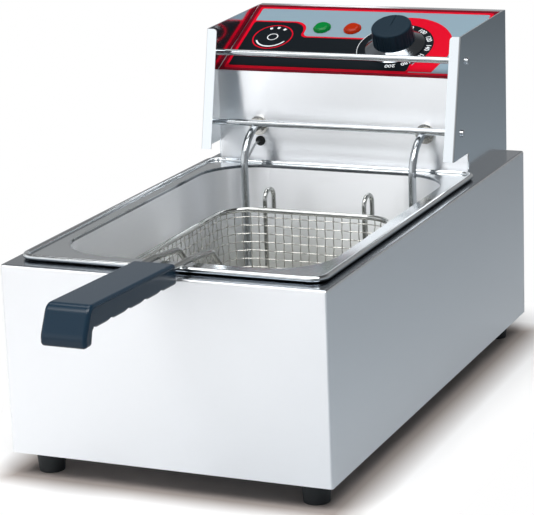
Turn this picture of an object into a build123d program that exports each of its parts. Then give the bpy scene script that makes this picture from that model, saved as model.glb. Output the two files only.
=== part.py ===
from build123d import *
import os
from math import atan2, cos, hypot, radians, sin

# Countertop electric deep fryer. X runs left to right, Y from the handle's tip to the rear, Z up.
# The origin is on the table, under the middle of the whole object's box. All sizes are in millimetres.

# Casing
casing_width = 280.0
casing_depth = 500.0
casing_height = 158.0
casing_sheet = 1.0
casing_bend = 2.0
return_flange = 38.0
collar_height = 2.0
base_plate_clearance = 0.6
vent_length = 60.0
vent_width = 5.0
vent_pitch = 14.0
vent_rows = 8
vent_columns = 2
vent_column_pitch = 90.0

# Feet
foot_height = 20.0
foot_top_radius = 12.5
foot_bottom_radius = 10.5
foot_inset = 23.0
foot_bolt = 5.0
foot_bolt_head = 9.0
foot_bolt_head_height = 4.0
foot_pocket_depth = 9.0
foot_pocket_clearance = 0.8
foot_nut_flats = 8.0
foot_nut_height = 4.0
bolt_tail = 2.0

# Oil tank
tank_sheet = 1.0
tank_depth = 138.0
tank_taper = 3.0
tank_corner = 50.0
tank_floor_fillet = 14.0
tank_side_margin = 8.0
tank_front_margin = 14.0
tank_head_gap = 4.0
flange_side = 16.0
flange_front = 22.0
flange_rear = 12.0
tank_clearance = 1.5
bead_diameter = 5.0
bead_corner = 11.0

# Head
head_side_margin = 17.0
head_depth = 112.0
head_height = 133.0
head_sheet = 1.2
head_bend = 1.6
front_panel_height = 87.5
top_strip = 11.0
wing_reach_top = 18.0
wing_reach_bottom = 42.0
wing_bottom_rise = 21.0
wing_top_drop = 4.0
wing_flange = 10.0
wing_flange_corner = 3.5
rear_flange = 14.0
flange_gap = 0.2

# Locating pins of the head and their bushes in the deck
pin_diameter = 8.0
pin_length = 14.0
pin_inset = 33.0
pin_head = 14.0
pin_head_height = 2.0
pin_chamfer = 1.5
pin_clearance = 0.3
bush_wall = 2.0
bush_length = 16.0
bush_flange = 3.0
bush_flange_height = 1.5

# Rear cover
cover_sheet = 1.0
cover_screw = 4.0
cover_screw_head = 7.0
cover_screw_head_height = 2.4
cover_screw_length = 7.0
cover_screw_edge = 20.0
louvre_length = 54.0
louvre_width = 4.0
louvre_pitch = 9.0
louvre_rows = 5
louvre_columns = 2
louvre_column_pitch = 92.0
louvre_rise = 95.0

# Drain rods
rod_diameter = 6.0
rod_upper_reach = 3.0
rod_upper_rise = 105.0
rod_lower_reach = 18.0
rod_lower_rise = 42.5
rod_screw = 3.0
rod_screw_head = 6.5
rod_screw_head_height = 2.2
rod_screw_length = 12.0
rod_bore_depth = 14.0
thread_clearance = 0.05

# Control panel
overlay_thickness = 0.5
overlay_margin = 0.6
lamp_green_x = -42.5
lamp_orange_x = -12.0
lamp_up_slope = 73.0
lamp_radius = 7.6
lamp_height = 3.6
lamp_dome = 2.6
lamp_rim = 0.9
lamp_rim_height = 1.2
lamp_body_radius = 5.0
lamp_body_length = 22.0
lamp_nut_flats = 14.0
lamp_nut_height = 3.0
hole_clearance = 0.2

# Thermostat and knob
knob_x = 39.0
knob_up_slope = 47.0
knob_radius = 19.5
knob_top_radius = 18.6
knob_height = 17.0
knob_edge = 1.6
knob_flutes = 18
flute_radius = 2.4
flute_depth = 0.9
knob_pointer_width = 1.6
knob_pointer_depth = 0.6
knob_hub_radius = 6.5
knob_hub_drop = 2.5
skirt_radius = 28.0
skirt_gap = 0.6
skirt_sheet = 0.8
skirt_rise = 5.0
shaft_diameter = 6.0
shaft_running_gap = 0.08
shaft_seat = 14.0
shaft_cap = 3.0
thermostat_width = 46.0
thermostat_depth = 34.0
thermostat_height = 30.0
thermostat_corner = 4.0
bracket_width = 40.0
bracket_depth = 22.0
bracket_sheet = 1.5
thermostat_screw = 4.0
thermostat_screw_head = 7.0
thermostat_screw_head_height = 2.0
thermostat_screw_spacing = 28.0
thermostat_screw_tail = 4.0

# Heating element
element_diameter = 7.0
element_half_span = 82.0
element_inner_half_span = 28.0
element_rise = 36.5
element_reach = 37.0
element_top_bend = 32.0
element_low_bend = 22.0
element_loop_bend = 24.0
element_floor_gap = 14.0
element_front_gap = 44.0
element_rear_loop = 40.0
element_tail = 26.0
terminal_diameter = 4.0
terminal_length = 10.0
boss_radius = 9.0
boss_disc = 2.0
boss_hub_radius = 6.2
boss_hub = 3.0
boss_stem_radius = 5.0
element_nut_flats = 17.0
element_nut_height = 5.0

# Thermostat bulb, its capillary and clips
bulb_diameter = 6.0
bulb_length = 80.0
bulb_element_gap = 0.4
bulb_start = 185.0
capillary_diameter = 2.0
capillary_bend = 8.0
capillary_rise = 22.0
capillary_inset = 1.0
capillary_inner_inset = 16.0
capillary_leg_offset = 2.1
capillary_leg_gap = 4.9
capillary_turn_gap = 12.0
capillary_inner_gap = 26.0
capillary_drop = 16.0
grommet_radius = 3.4
grommet_flange_radius = 4.6
grommet_flange = 1.2
clip_sheet = 0.6
clip_width = 8.0
clip_clearance = 0.1
clip_inset = 14.0

# Terminal block, wiring and earth screw
block_width = 72.0
block_depth = 20.0
block_height = 16.0
block_rear_gap = 30.0
block_pitch = 14.0
block_ways = 5
block_groove = 1.0
wire_diameter = 2.4
wire_bend = 7.0
wire_straight = 10.0
wire_turn_rise = 50.0
earth_screw = 4.0
earth_screw_head = 7.0
earth_screw_head_height = 2.6
earth_x = -62.0

# Cable gland
gland_inset = 43.0
gland_rise = 42.0
gland_bore = 8.0
gland_sleeve_radius = 8.0
gland_hex_flats = 22.0
gland_hex_height = 5.0
gland_dome_radius = 9.0
gland_reach = 16.0
gland_dome_fillet = 3.0
gland_inner_length = 10.0
gland_nut_height = 4.0

# Basket
basket_width = 165.0
basket_length = 226.0
basket_wall = 1.6
basket_taper = 2.0
basket_corner = 30.0
basket_floor_fillet = 10.0
basket_rear_gap = 58.0
basket_rest_gap = 0.9
basket_rim_drop = 25.0
mesh_rib = 2.6
mesh_columns = 6
mesh_side_columns = 9
mesh_corner_columns = 3
mesh_rows = 5
rim_wire = 5.0
seat_gap = 0.1
hook_x = 48.0
hook_wire = 4.0
hook_rise = 16.0
hook_gap = 20.0
hook_bend = 8.5
hook_tip_drop = 4.0
hook_leg = 60.0

# Handle
handle_wire = 5.0
handle_wire_x = 14.5
handle_wire_bend = 9.0
handle_wire_seat = 70.0
handle_wire_rise = 2.0
handle_knee_back = 9.0
handle_peak_gap = 16.0
handle_peak_drop = 4.5
handle_leg_top = 20.0
handle_leg = 45.0
handle_rest_gap = 0.3
grip_gap = 4.0
grip_length = 152.0
grip_width = 37.0
grip_rear_top = 13.5
grip_front_top = 19.0
grip_nose = 11.0
grip_lip = 11.0
grip_lip_bottom = -10.5
grip_lip_face = 8.0
grip_lip_back = 14.0
grip_front_bottom = 0.7
grip_rear_bottom = -3.3
grip_edge = 3.0
grip_top_round = 9.0
grip_nose_round = 12.0
finger_count = 5
finger_pitch = 27.4
finger_notch = 2.8
finger_land = 8.0

# Main places, worked out from the sizes above
handle_overhang = grip_gap + grip_length
overall_length = handle_overhang + casing_depth + gland_reach
front = handle_overhang - overall_length / 2
rear = front + casing_depth
deck = foot_height + casing_height
head_width = casing_width - 2 * head_side_margin
head_half = head_width / 2
head_inner = head_half - head_sheet
head_front = rear - head_depth
head_floor = deck + head_sheet
head_top = deck + head_height
cover_front = rear - cover_sheet

# Tank places: the rim runs from the front margin back to the head
rim_width = casing_width - 2 * tank_side_margin
rim_front = front + tank_front_margin
rim_rear = head_front - tank_head_gap
opening_width = rim_width - 2 * flange_side
opening_front = rim_front + flange_front
opening_rear = rim_rear - flange_rear
opening_length = opening_rear - opening_front
opening_y = (opening_front + opening_rear) / 2
flange_bottom = deck + collar_height
flange_top = flange_bottom + tank_sheet
tank_floor = flange_top - tank_depth
well_gap = tank_sheet + tank_clearance

# Control face: a plane on the slope, its own X to the right and Y up the slope
slope_run = head_depth - top_strip
slope_rise = head_height - front_panel_height
slope_length = hypot(slope_run, slope_rise)
slope = atan2(slope_rise, slope_run)
slope_normal = Vector(0, -sin(slope), cos(slope))
slope_up = Vector(0, cos(slope), sin(slope))
slope_foot = Vector(0, head_front, deck + front_panel_height)
control_face = Plane(origin=slope_foot, x_dir=(1, 0, 0), z_dir=slope_normal)

os.makedirs("parts", exist_ok=True)


def save(piece, name):
    """Label a finished piece and write it to its own file."""
    piece.part.label = name
    export_step(piece.part, f"parts/{name}.step")


def tapered_pan(width, length, corner, middle, top, bottom, taper, floor_fillet):
    """A solid block with the outside of a drawn pan: rounded corners, leaning walls and a soft floor edge."""
    with BuildPart() as block:
        with BuildSketch(Plane.XY.offset(top)):
            with Locations((0, middle)):
                RectangleRounded(width, length, corner)
        extrude(amount=bottom - top, taper=taper)
        fillet(block.faces().sort_by(Axis.Z)[0].edges(), floor_fillet)
    return block.part


def on_slope(x, up, height=0.0):
    """A point of the whole object's frame, from its place on the control face."""
    return slope_foot + Vector(x, 0, 0) + slope_up * up + slope_normal * height


# Casing shell: one folded box with a deck, a bottom return flange and a raised collar round the tank
foot_x = casing_width / 2 - foot_inset
foot_y = casing_depth / 2 - foot_inset
casing_y = front + casing_depth / 2
feet = [(x, casing_y + y) for x in (-foot_x, foot_x) for y in (-foot_y, foot_y)]
pin_y = rear - head_depth / 2
pin_x = head_half - pin_inset
pins = [(-pin_x, pin_y), (pin_x, pin_y)]
bush_radius = pin_diameter / 2 + pin_clearance + bush_wall
well_width = opening_width + 2 * well_gap
well_length = opening_length + 2 * well_gap
well_corner = tank_corner + well_gap

with BuildPart() as casing_shell:
    with BuildSketch(Plane.XY.offset(foot_height)):
        with Locations((0, casing_y)):
            Rectangle(casing_width, casing_depth)
    extrude(amount=casing_height)
    fillet(casing_shell.edges().filter_by(Axis.Z), casing_bend)
    fillet(casing_shell.faces().sort_by(Axis.Z)[-1].edges(), casing_bend)
    offset(amount=-casing_sheet, openings=casing_shell.faces().sort_by(Axis.Z)[0])
    with BuildSketch(Plane.XY.offset(foot_height)):
        with Locations((0, casing_y)):
            RectangleRounded(casing_width - casing_sheet, casing_depth - casing_sheet, casing_bend)
            Rectangle(casing_width - 2 * return_flange, casing_depth - 2 * return_flange, mode=Mode.SUBTRACT)
        with Locations(*feet):
            Circle(foot_bolt / 2 + hole_clearance, mode=Mode.SUBTRACT)
    extrude(amount=casing_sheet)
    with BuildSketch(Plane.XY.offset(deck - casing_sheet)):
        with Locations((0, opening_y)):
            RectangleRounded(well_width + 2 * casing_sheet, well_length + 2 * casing_sheet, well_corner)
    extrude(amount=casing_sheet + collar_height)
    with BuildSketch(Plane.XY.offset(deck - casing_sheet)):
        with Locations((0, opening_y)):
            RectangleRounded(well_width, well_length, well_corner - casing_sheet)
        with Locations(*pins):
            Circle(bush_radius + thread_clearance)
    extrude(amount=casing_sheet + collar_height, mode=Mode.SUBTRACT)
save(casing_shell, "casing_shell")

# Base plate: lies on the return flange and is held by the foot bolts
plate_bottom = foot_height + casing_sheet
plate_margin = casing_sheet + base_plate_clearance
with BuildPart() as base_plate:
    with BuildSketch(Plane.XY.offset(plate_bottom)):
        with Locations((0, casing_y)):
            Rectangle(casing_width - 2 * plate_margin, casing_depth - 2 * plate_margin)
            with GridLocations(vent_column_pitch, vent_pitch, vent_columns, vent_rows):
                SlotOverall(vent_length, vent_width, mode=Mode.SUBTRACT)
        with Locations(*feet):
            Circle(foot_bolt / 2 + hole_clearance, mode=Mode.SUBTRACT)
    extrude(amount=casing_sheet)
save(base_plate, "base_plate")

# Rubber feet: tapered plugs with a pocket for the bolt's head
pocket_radius = foot_bolt_head / 2 + foot_pocket_clearance
with BuildPart() as rubber_feet:
    with Locations(*feet):
        Cone(foot_bottom_radius, foot_top_radius, foot_height, align=(Align.CENTER, Align.CENTER, Align.MIN))
        Cylinder(
            foot_bolt / 2 + hole_clearance,
            foot_height,
            align=(Align.CENTER, Align.CENTER, Align.MIN),
            mode=Mode.SUBTRACT,
        )
        Cylinder(
            pocket_radius,
            foot_pocket_depth,
            align=(Align.CENTER, Align.CENTER, Align.MIN),
            mode=Mode.SUBTRACT,
        )
save(rubber_feet, "rubber_feet")

# Foot bolts and their nuts on the base plate
plate_top = plate_bottom + casing_sheet
bolt_top = plate_top + foot_nut_height + bolt_tail
with BuildPart() as foot_screws:
    with BuildSketch(Plane.XY.offset(foot_pocket_depth)):
        with Locations(*feet):
            Circle(foot_bolt_head / 2)
    extrude(amount=-foot_bolt_head_height)
    with BuildSketch(Plane.XY.offset(foot_pocket_depth)):
        with Locations(*feet):
            Circle(foot_bolt / 2)
    extrude(amount=bolt_top - foot_pocket_depth)
save(foot_screws, "foot_screws")

with BuildPart() as foot_nuts:
    with BuildSketch(Plane.XY.offset(plate_top)):
        with Locations(*feet):
            RegularPolygon(foot_nut_flats / 2, 6, major_radius=False)
            Circle(foot_bolt / 2 + thread_clearance, mode=Mode.SUBTRACT)
    extrude(amount=foot_nut_height)
save(foot_nuts, "foot_nuts")

# Bushes in the deck that take the head's locating pins
with BuildPart() as locating_bushes:
    with BuildSketch(Plane.XY.offset(deck)):
        with Locations(*pins):
            Circle(bush_radius)
    extrude(amount=-bush_length)
    with BuildSketch(Plane.XY.offset(deck - casing_sheet)):
        with Locations(*pins):
            Circle(bush_radius + bush_flange)
    extrude(amount=-bush_flange_height)
    with BuildSketch(Plane.XY.offset(deck)):
        with Locations(*pins):
            Circle(pin_diameter / 2 + pin_clearance)
    extrude(amount=-bush_length, mode=Mode.SUBTRACT)
save(locating_bushes, "locating_bushes")

# Oil tank: a drawn pan with a flat flange and a rolled bead round its edge
bead_x = (rim_width - bead_diameter) / 2
bead_front = rim_front + bead_diameter / 2
bead_rear = rim_rear - bead_diameter / 2
bead_corners = [(-bead_x, bead_front), (bead_x, bead_front), (bead_x, bead_rear), (-bead_x, bead_rear)]
tank_outside = tapered_pan(
    opening_width + 2 * tank_sheet,
    opening_length + 2 * tank_sheet,
    tank_corner + tank_sheet,
    opening_y,
    flange_top,
    tank_floor - tank_sheet,
    tank_taper,
    tank_floor_fillet + tank_sheet,
)
tank_inside = tapered_pan(
    opening_width,
    opening_length,
    tank_corner,
    opening_y,
    flange_top,
    tank_floor,
    tank_taper,
    tank_floor_fillet,
)
with BuildPart() as oil_tank:
    add(tank_outside)
    add(tank_inside, mode=Mode.SUBTRACT)
    with BuildSketch(Plane.XY.offset(flange_bottom)):
        with Locations((0, (bead_front + bead_rear) / 2)):
            RectangleRounded(2 * bead_x, bead_rear - bead_front, bead_corner)
        with Locations((0, opening_y)):
            RectangleRounded(opening_width, opening_length, tank_corner, mode=Mode.SUBTRACT)
    extrude(amount=tank_sheet)
    with BuildLine() as bead_line:
        FilletPolyline(*[(x, y, flange_top) for x, y in bead_corners], radius=bead_corner, close=True)
    with BuildSketch(Plane(origin=bead_line.line @ 0, z_dir=bead_line.line % 0)):
        Circle(bead_diameter / 2)
    sweep()
save(oil_tank, "oil_tank")
bead_top = flange_top + bead_diameter / 2

# Head base: the plate that the head's panels stand on
head_y = (head_front + rear) / 2
earth_y = rear - block_rear_gap
with BuildPart() as head_base:
    with BuildSketch(Plane.XY.offset(deck)):
        with Locations((0, head_y)):
            Rectangle(head_width, head_depth)
        with Locations(*pins):
            Circle(pin_diameter / 2 + thread_clearance, mode=Mode.SUBTRACT)
        with Locations((earth_x, earth_y)):
            Circle(earth_screw / 2 + thread_clearance, mode=Mode.SUBTRACT)
    extrude(amount=head_sheet)
save(head_base, "head_base")

# Locating pins: headed pins that drop into the deck's bushes
with BuildPart() as head_pins:
    with BuildSketch(Plane.XY.offset(head_floor)):
        with Locations(*pins):
            Circle(pin_diameter / 2)
    extrude(amount=-(head_sheet + pin_length))
    chamfer(head_pins.faces().group_by(Axis.Z)[0].edges(), pin_chamfer)
    with BuildSketch(Plane.XY.offset(head_floor)):
        with Locations(*pins):
            Circle(pin_head / 2)
    extrude(amount=pin_head_height)
save(head_pins, "head_pins")

# Side plates: each runs forward as a wing, folded inward along the front and the rear
wing_top = head_top - wing_top_drop
wing_bottom = deck + wing_bottom_rise
wing_front_top = head_front - wing_reach_top
wing_front_bottom = head_front - wing_reach_bottom
wing_top_slope = wing_top_drop / (rear - top_strip - wing_front_top)
flange_ceiling = head_top - head_sheet - flange_gap
rods = [
    (head_front - rod_upper_reach, deck + rod_upper_rise),
    (head_front - rod_lower_reach, deck + rod_lower_rise),
]
cover_screw_x = head_inner - rear_flange / 2
cover_screw_places = [
    (cover_screw_x, head_floor + cover_screw_edge),
    (cover_screw_x, head_top - cover_screw_edge),
]
with BuildPart() as head_side_right:
    with BuildSketch(Plane.YZ.offset(head_inner)):
        Polygon(
            (head_front, head_floor),
            (cover_front, head_floor),
            (cover_front, head_top),
            (rear - top_strip, head_top),
            (wing_front_top, wing_top),
            (wing_front_bottom, wing_bottom),
            (head_front, wing_bottom),
            align=None,
        )
    extrude(amount=head_sheet)
    with BuildSketch(Plane.YZ.offset(head_half - wing_flange)):
        Polygon(
            (wing_front_bottom, wing_bottom),
            (wing_front_bottom + head_sheet, wing_bottom),
            (wing_front_top + head_sheet, wing_top + head_sheet * wing_top_slope),
            (wing_front_top, wing_top),
            align=None,
        )
    extrude(amount=wing_flange)
    with BuildSketch(Plane.XZ.offset(-cover_front)):
        with Locations((head_inner - rear_flange / 2, (head_floor + flange_ceiling) / 2)):
            Rectangle(rear_flange, flange_ceiling - head_floor)
        with Locations(*cover_screw_places):
            Circle(cover_screw / 2 + thread_clearance, mode=Mode.SUBTRACT)
    extrude(amount=head_sheet)
    with BuildSketch(Plane.YZ.offset(head_half)):
        with Locations(*rods):
            Circle(rod_screw / 2 + hole_clearance)
    extrude(amount=-head_sheet, mode=Mode.SUBTRACT)
    with BuildSketch(Plane.XZ.offset(-wing_front_bottom)):
        with Locations((head_half - wing_flange, head_top)):
            Rectangle(
                wing_flange_corner,
                wing_top_drop + wing_flange_corner,
                align=(Align.MIN, Align.MAX),
            )
        with Locations((head_half - wing_flange + wing_flange_corner, wing_top - wing_flange_corner)):
            Circle(wing_flange_corner, mode=Mode.SUBTRACT)
    extrude(amount=wing_front_bottom - head_front, mode=Mode.SUBTRACT)
    wing_fold = head_side_right.edges().filter_by_position(Axis.X, head_half, head_half)
    fillet(wing_fold.sort_by(Axis.Y)[0], head_bend)
save(head_side_right, "head_side_right")

with BuildPart() as head_side_left:
    mirror(head_side_right.part, about=Plane.YZ)
save(head_side_left, "head_side_left")

# Front panel: one sheet folded into the upright front, the sloping control face and a top strip
element_places = [(-element_half_span, deck + element_rise), (element_half_span, deck + element_rise)]
capillary_x = capillary_inset - element_half_span
grommet_place = (capillary_x, deck + capillary_rise)
lamps = [(lamp_green_x, lamp_up_slope), (lamp_orange_x, lamp_up_slope)]
knob_place = (knob_x, knob_up_slope)
screw_half = thermostat_screw_spacing / 2
thermostat_screw_places = [(knob_x - screw_half, knob_up_slope), (knob_x + screw_half, knob_up_slope)]
shaft_hole = shaft_diameter / 2 + hole_clearance
with BuildPart() as head_front_panel:
    with BuildSketch(Plane.YZ.offset(-head_inner)):
        Polygon(
            (head_front, head_floor),
            (cover_front, head_floor),
            (cover_front, head_top),
            (rear - top_strip, head_top),
            (head_front, deck + front_panel_height),
            align=None,
        )
    extrude(amount=2 * head_inner)
    panel_faces = head_front_panel.faces()
    open_faces = [
        panel_faces.sort_by(Axis.X)[0],
        panel_faces.sort_by(Axis.X)[-1],
        panel_faces.sort_by(Axis.Z)[0],
        panel_faces.sort_by(Axis.Y)[-1],
    ]
    offset(amount=-head_sheet, openings=open_faces)
    with BuildSketch(Plane.XZ.offset(-head_front)):
        with Locations(*element_places):
            Circle(boss_stem_radius + hole_clearance)
        with Locations(grommet_place):
            Circle(grommet_radius)
    extrude(amount=-head_sheet, mode=Mode.SUBTRACT)
    with BuildSketch(control_face):
        with Locations(*lamps):
            Circle(lamp_body_radius + hole_clearance)
        with Locations(knob_place):
            Circle(shaft_hole)
        with Locations(*thermostat_screw_places):
            Circle(thermostat_screw / 2 + hole_clearance)
    extrude(amount=-2 * head_sheet, mode=Mode.SUBTRACT)
save(head_front_panel, "head_front_panel")

# Rear cover with louvre slots and the hole for the gland
cover_screws = [(x * side, z) for x, z in cover_screw_places for side in (-1, 1)]
gland_place = (gland_inset - head_half, deck + gland_rise)
with BuildPart() as head_rear_cover:
    with BuildSketch(Plane.XZ.offset(-rear)):
        with Locations((0, (head_floor + head_top) / 2)):
            Rectangle(head_width, head_top - head_floor)
        with Locations((0, deck + louvre_rise)):
            with GridLocations(louvre_column_pitch, louvre_pitch, louvre_columns, louvre_rows):
                SlotOverall(louvre_length, louvre_width, mode=Mode.SUBTRACT)
        with Locations(*cover_screws):
            Circle(cover_screw / 2 + hole_clearance, mode=Mode.SUBTRACT)
        with Locations(gland_place):
            Circle(gland_sleeve_radius + hole_clearance, mode=Mode.SUBTRACT)
    extrude(amount=cover_sheet)
save(head_rear_cover, "head_rear_cover")

with BuildPart() as rear_cover_screws:
    with BuildSketch(Plane.XZ.offset(-rear)):
        with Locations(*cover_screws):
            Circle(cover_screw_head / 2)
    extrude(amount=-cover_screw_head_height)
    fillet(rear_cover_screws.faces().group_by(Axis.Y)[-1].edges(), cover_screw_head_height / 2)
    with BuildSketch(Plane.XZ.offset(-rear)):
        with Locations(*cover_screws):
            Circle(cover_screw / 2)
    extrude(amount=cover_screw_length)
save(rear_cover_screws, "rear_cover_screws")

# Drain rods between the wings, each screwed from outside
for rod_name, rod_place in zip(("rod_upper", "rod_lower"), rods):
    with BuildPart() as drain_rod:
        with BuildSketch(Plane.YZ.offset(-head_inner)):
            with Locations(rod_place):
                Circle(rod_diameter / 2)
        extrude(amount=2 * head_inner)
        for end, depth in ((-head_inner, rod_bore_depth), (head_inner, -rod_bore_depth)):
            with BuildSketch(Plane.YZ.offset(end)):
                with Locations(rod_place):
                    Circle(rod_screw / 2 + thread_clearance)
            extrude(amount=depth, mode=Mode.SUBTRACT)
    save(drain_rod, rod_name)

with BuildPart() as rod_screws:
    with BuildSketch(Plane.YZ.offset(head_half)):
        with Locations(*rods):
            Circle(rod_screw_head / 2)
    extrude(amount=rod_screw_head_height)
    fillet(rod_screws.faces().group_by(Axis.X)[-1].edges(), rod_screw_head_height / 2)
    with BuildSketch(Plane.YZ.offset(head_half)):
        with Locations(*rods):
            Circle(rod_screw / 2)
    extrude(amount=-rod_screw_length)
    mirror(about=Plane.YZ)
save(rod_screws, "rod_screws")

# Printed overlay on the control face
overlay_width = 2 * (head_inner - overlay_margin)
overlay_length = slope_length - 2 * overlay_margin
with BuildPart() as control_overlay:
    with BuildSketch(control_face):
        with Locations((0, slope_length / 2)):
            Rectangle(overlay_width, overlay_length)
        with Locations(*lamps):
            Circle(lamp_body_radius + hole_clearance, mode=Mode.SUBTRACT)
        with Locations(knob_place):
            Circle(shaft_hole, mode=Mode.SUBTRACT)
        with Locations(*thermostat_screw_places):
            Circle(thermostat_screw_head / 2 + hole_clearance, mode=Mode.SUBTRACT)
    extrude(amount=overlay_thickness)
save(control_overlay, "control_overlay")

# Indicator lamps: a domed lens in front, a body through the panel and a nut behind it
lens_face = control_face.offset(overlay_thickness)
for lens_name, lamp_place in zip(("green_lamp_lens", "orange_lamp_lens"), lamps):
    with BuildPart() as lamp_lens:
        with BuildSketch(lens_face):
            with Locations(lamp_place):
                Circle(lamp_radius)
        extrude(amount=lamp_height)
        fillet(lamp_lens.faces().sort_by(Axis(slope_foot, slope_normal))[-1].edges(), lamp_dome)
        with BuildSketch(lens_face):
            with Locations(lamp_place):
                Circle(lamp_radius + lamp_rim)
        extrude(amount=lamp_rim_height)
    save(lamp_lens, lens_name)

with BuildPart() as lamp_bodies:
    with BuildSketch(lens_face):
        with Locations(*lamps):
            Circle(lamp_body_radius)
    extrude(amount=-lamp_body_length)
save(lamp_bodies, "lamp_bodies")

panel_back = control_face.offset(-head_sheet)
with BuildPart() as lamp_nuts:
    with BuildSketch(panel_back):
        with Locations(*lamps):
            RegularPolygon(lamp_nut_flats / 2, 6, major_radius=False)
            Circle(lamp_body_radius + thread_clearance, mode=Mode.SUBTRACT)
    extrude(amount=-lamp_nut_height)
save(lamp_nuts, "lamp_nuts")

# Thermostat behind the panel, on a bracket held by two screws
with BuildPart() as thermostat_body:
    with BuildSketch(panel_back):
        with Locations(knob_place):
            Rectangle(bracket_width, bracket_depth)
    extrude(amount=-bracket_sheet)
    with BuildSketch(panel_back.offset(-bracket_sheet)):
        with Locations(knob_place):
            RectangleRounded(thermostat_width, thermostat_depth, thermostat_corner)
    extrude(amount=-thermostat_height)
    with BuildSketch(panel_back):
        with Locations(knob_place):
            Circle(shaft_diameter / 2 + shaft_running_gap)
        with Locations(*thermostat_screw_places):
            Circle(thermostat_screw / 2 + thread_clearance)
    extrude(amount=-(bracket_sheet + shaft_seat), mode=Mode.SUBTRACT)
save(thermostat_body, "thermostat_body")

with BuildPart() as thermostat_screws:
    with BuildSketch(control_face):
        with Locations(*thermostat_screw_places):
            Circle(thermostat_screw_head / 2)
    extrude(amount=thermostat_screw_head_height)
    with BuildSketch(control_face):
        with Locations(*thermostat_screw_places):
            Circle(thermostat_screw / 2)
    extrude(amount=-(head_sheet + bracket_sheet + thermostat_screw_tail))
save(thermostat_screws, "thermostat_screws")

# Knob, its bright skirt and the shaft, which turn together
knob_foot = on_slope(knob_x, knob_up_slope, overlay_thickness)
knob_axis = Axis(knob_foot, slope_normal)
knob_section = Plane(origin=knob_foot, x_dir=(1, 0, 0), z_dir=-slope_up)
knob_seat = skirt_gap + skirt_rise + skirt_sheet
skirt_bore = knob_hub_radius + hole_clearance
with BuildPart() as knob_skirt:
    with BuildSketch(knob_section):
        Polygon(
            (skirt_bore, knob_seat - skirt_sheet),
            (knob_radius, knob_seat - skirt_sheet),
            (skirt_radius, skirt_gap),
            (skirt_radius, skirt_gap + skirt_sheet),
            (knob_radius, knob_seat),
            (skirt_bore, knob_seat),
            align=None,
        )
    revolve(axis=knob_axis)
save(knob_skirt, "knob_skirt")

knob_base = control_face.offset(overlay_thickness + knob_seat)
knob_top = control_face.offset(overlay_thickness + knob_seat + knob_height)
with BuildPart() as knob:
    with BuildSketch(knob_base):
        with Locations(knob_place):
            Circle(knob_radius)
    with BuildSketch(knob_top):
        with Locations(knob_place):
            Circle(knob_top_radius)
    loft()
    fillet(knob.faces().sort_by(knob_axis)[-1].edges(), knob_edge)
    with BuildSketch(knob_base):
        with Locations(knob_place):
            with PolarLocations(knob_radius + flute_radius - flute_depth, knob_flutes):
                Circle(flute_radius)
    extrude(amount=knob_height, mode=Mode.SUBTRACT)
    with BuildSketch(knob_base):
        with Locations(knob_place):
            Circle(knob_hub_radius)
    extrude(amount=-knob_hub_drop)
    with BuildSketch(knob_base.offset(-knob_hub_drop)):
        with Locations(knob_place):
            Circle(shaft_diameter / 2 + thread_clearance)
    extrude(amount=knob_hub_drop + knob_height - shaft_cap, mode=Mode.SUBTRACT)
    with BuildSketch(knob_top):
        with Locations((knob_x, knob_up_slope + knob_radius / 2)):
            Rectangle(knob_pointer_width, knob_radius)
    extrude(amount=-knob_pointer_depth, mode=Mode.SUBTRACT)
save(knob, "knob")

shaft_bottom = panel_back.offset(-(bracket_sheet + shaft_seat - hole_clearance))
shaft_below = shaft_seat - hole_clearance + bracket_sheet + head_sheet
shaft_above = overlay_thickness + knob_seat + knob_height - shaft_cap - thread_clearance
with BuildPart() as thermostat_shaft:
    with BuildSketch(shaft_bottom):
        with Locations(knob_place):
            Circle(shaft_diameter / 2)
    extrude(amount=shaft_below + shaft_above)
save(thermostat_shaft, "thermostat_shaft")

# Heating element: one bent tube from the left boss, down into the tank, and back up to the right boss
element_z = tank_floor + element_floor_gap
element_back = head_front + element_tail
element_drop_y = head_front - element_reach
element_front = opening_front + element_front_gap
element_inner_rear = element_drop_y - element_rear_loop
fitting_z = deck + element_rise
element_left = [
    (-element_half_span, element_back, fitting_z),
    (-element_half_span, element_drop_y, fitting_z),
    (-element_half_span, element_drop_y, element_z),
    (-element_half_span, element_front, element_z),
    (-element_inner_half_span, element_front, element_z),
    (-element_inner_half_span, element_inner_rear, element_z),
]
element_right = [(-x, y, z) for x, y, z in reversed(element_left)]
left_bends = [element_top_bend, element_low_bend] + 3 * [element_loop_bend]
with BuildPart() as heating_element:
    with BuildLine() as element_line:
        FilletPolyline(*element_left, *element_right, radius=left_bends + left_bends[::-1])
    with BuildSketch(Plane(origin=element_line.line @ 0, z_dir=element_line.line % 0)):
        Circle(element_diameter / 2)
    sweep()
save(heating_element, "heating_element")

# Bosses on the front panel that hold the element, their nuts, and the terminals inside the head
element_hole = element_diameter / 2 + thread_clearance
boss_stem = head_sheet + element_nut_height
boss_length = boss_disc + boss_hub + boss_stem
with BuildPart() as element_bosses:
    with BuildSketch(Plane.XZ.offset(-head_front)):
        with Locations(*element_places):
            Circle(boss_radius)
    extrude(amount=boss_disc)
    with BuildSketch(Plane.XZ.offset(boss_disc - head_front)):
        with Locations(*element_places):
            Circle(boss_hub_radius)
    extrude(amount=boss_hub)
    with BuildSketch(Plane.XZ.offset(-head_front)):
        with Locations(*element_places):
            Circle(boss_stem_radius)
    extrude(amount=-boss_stem)
    with BuildSketch(Plane.XZ.offset(-head_front - boss_stem)):
        with Locations(*element_places):
            Circle(element_hole)
    extrude(amount=boss_length, mode=Mode.SUBTRACT)
save(element_bosses, "element_bosses")

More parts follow.
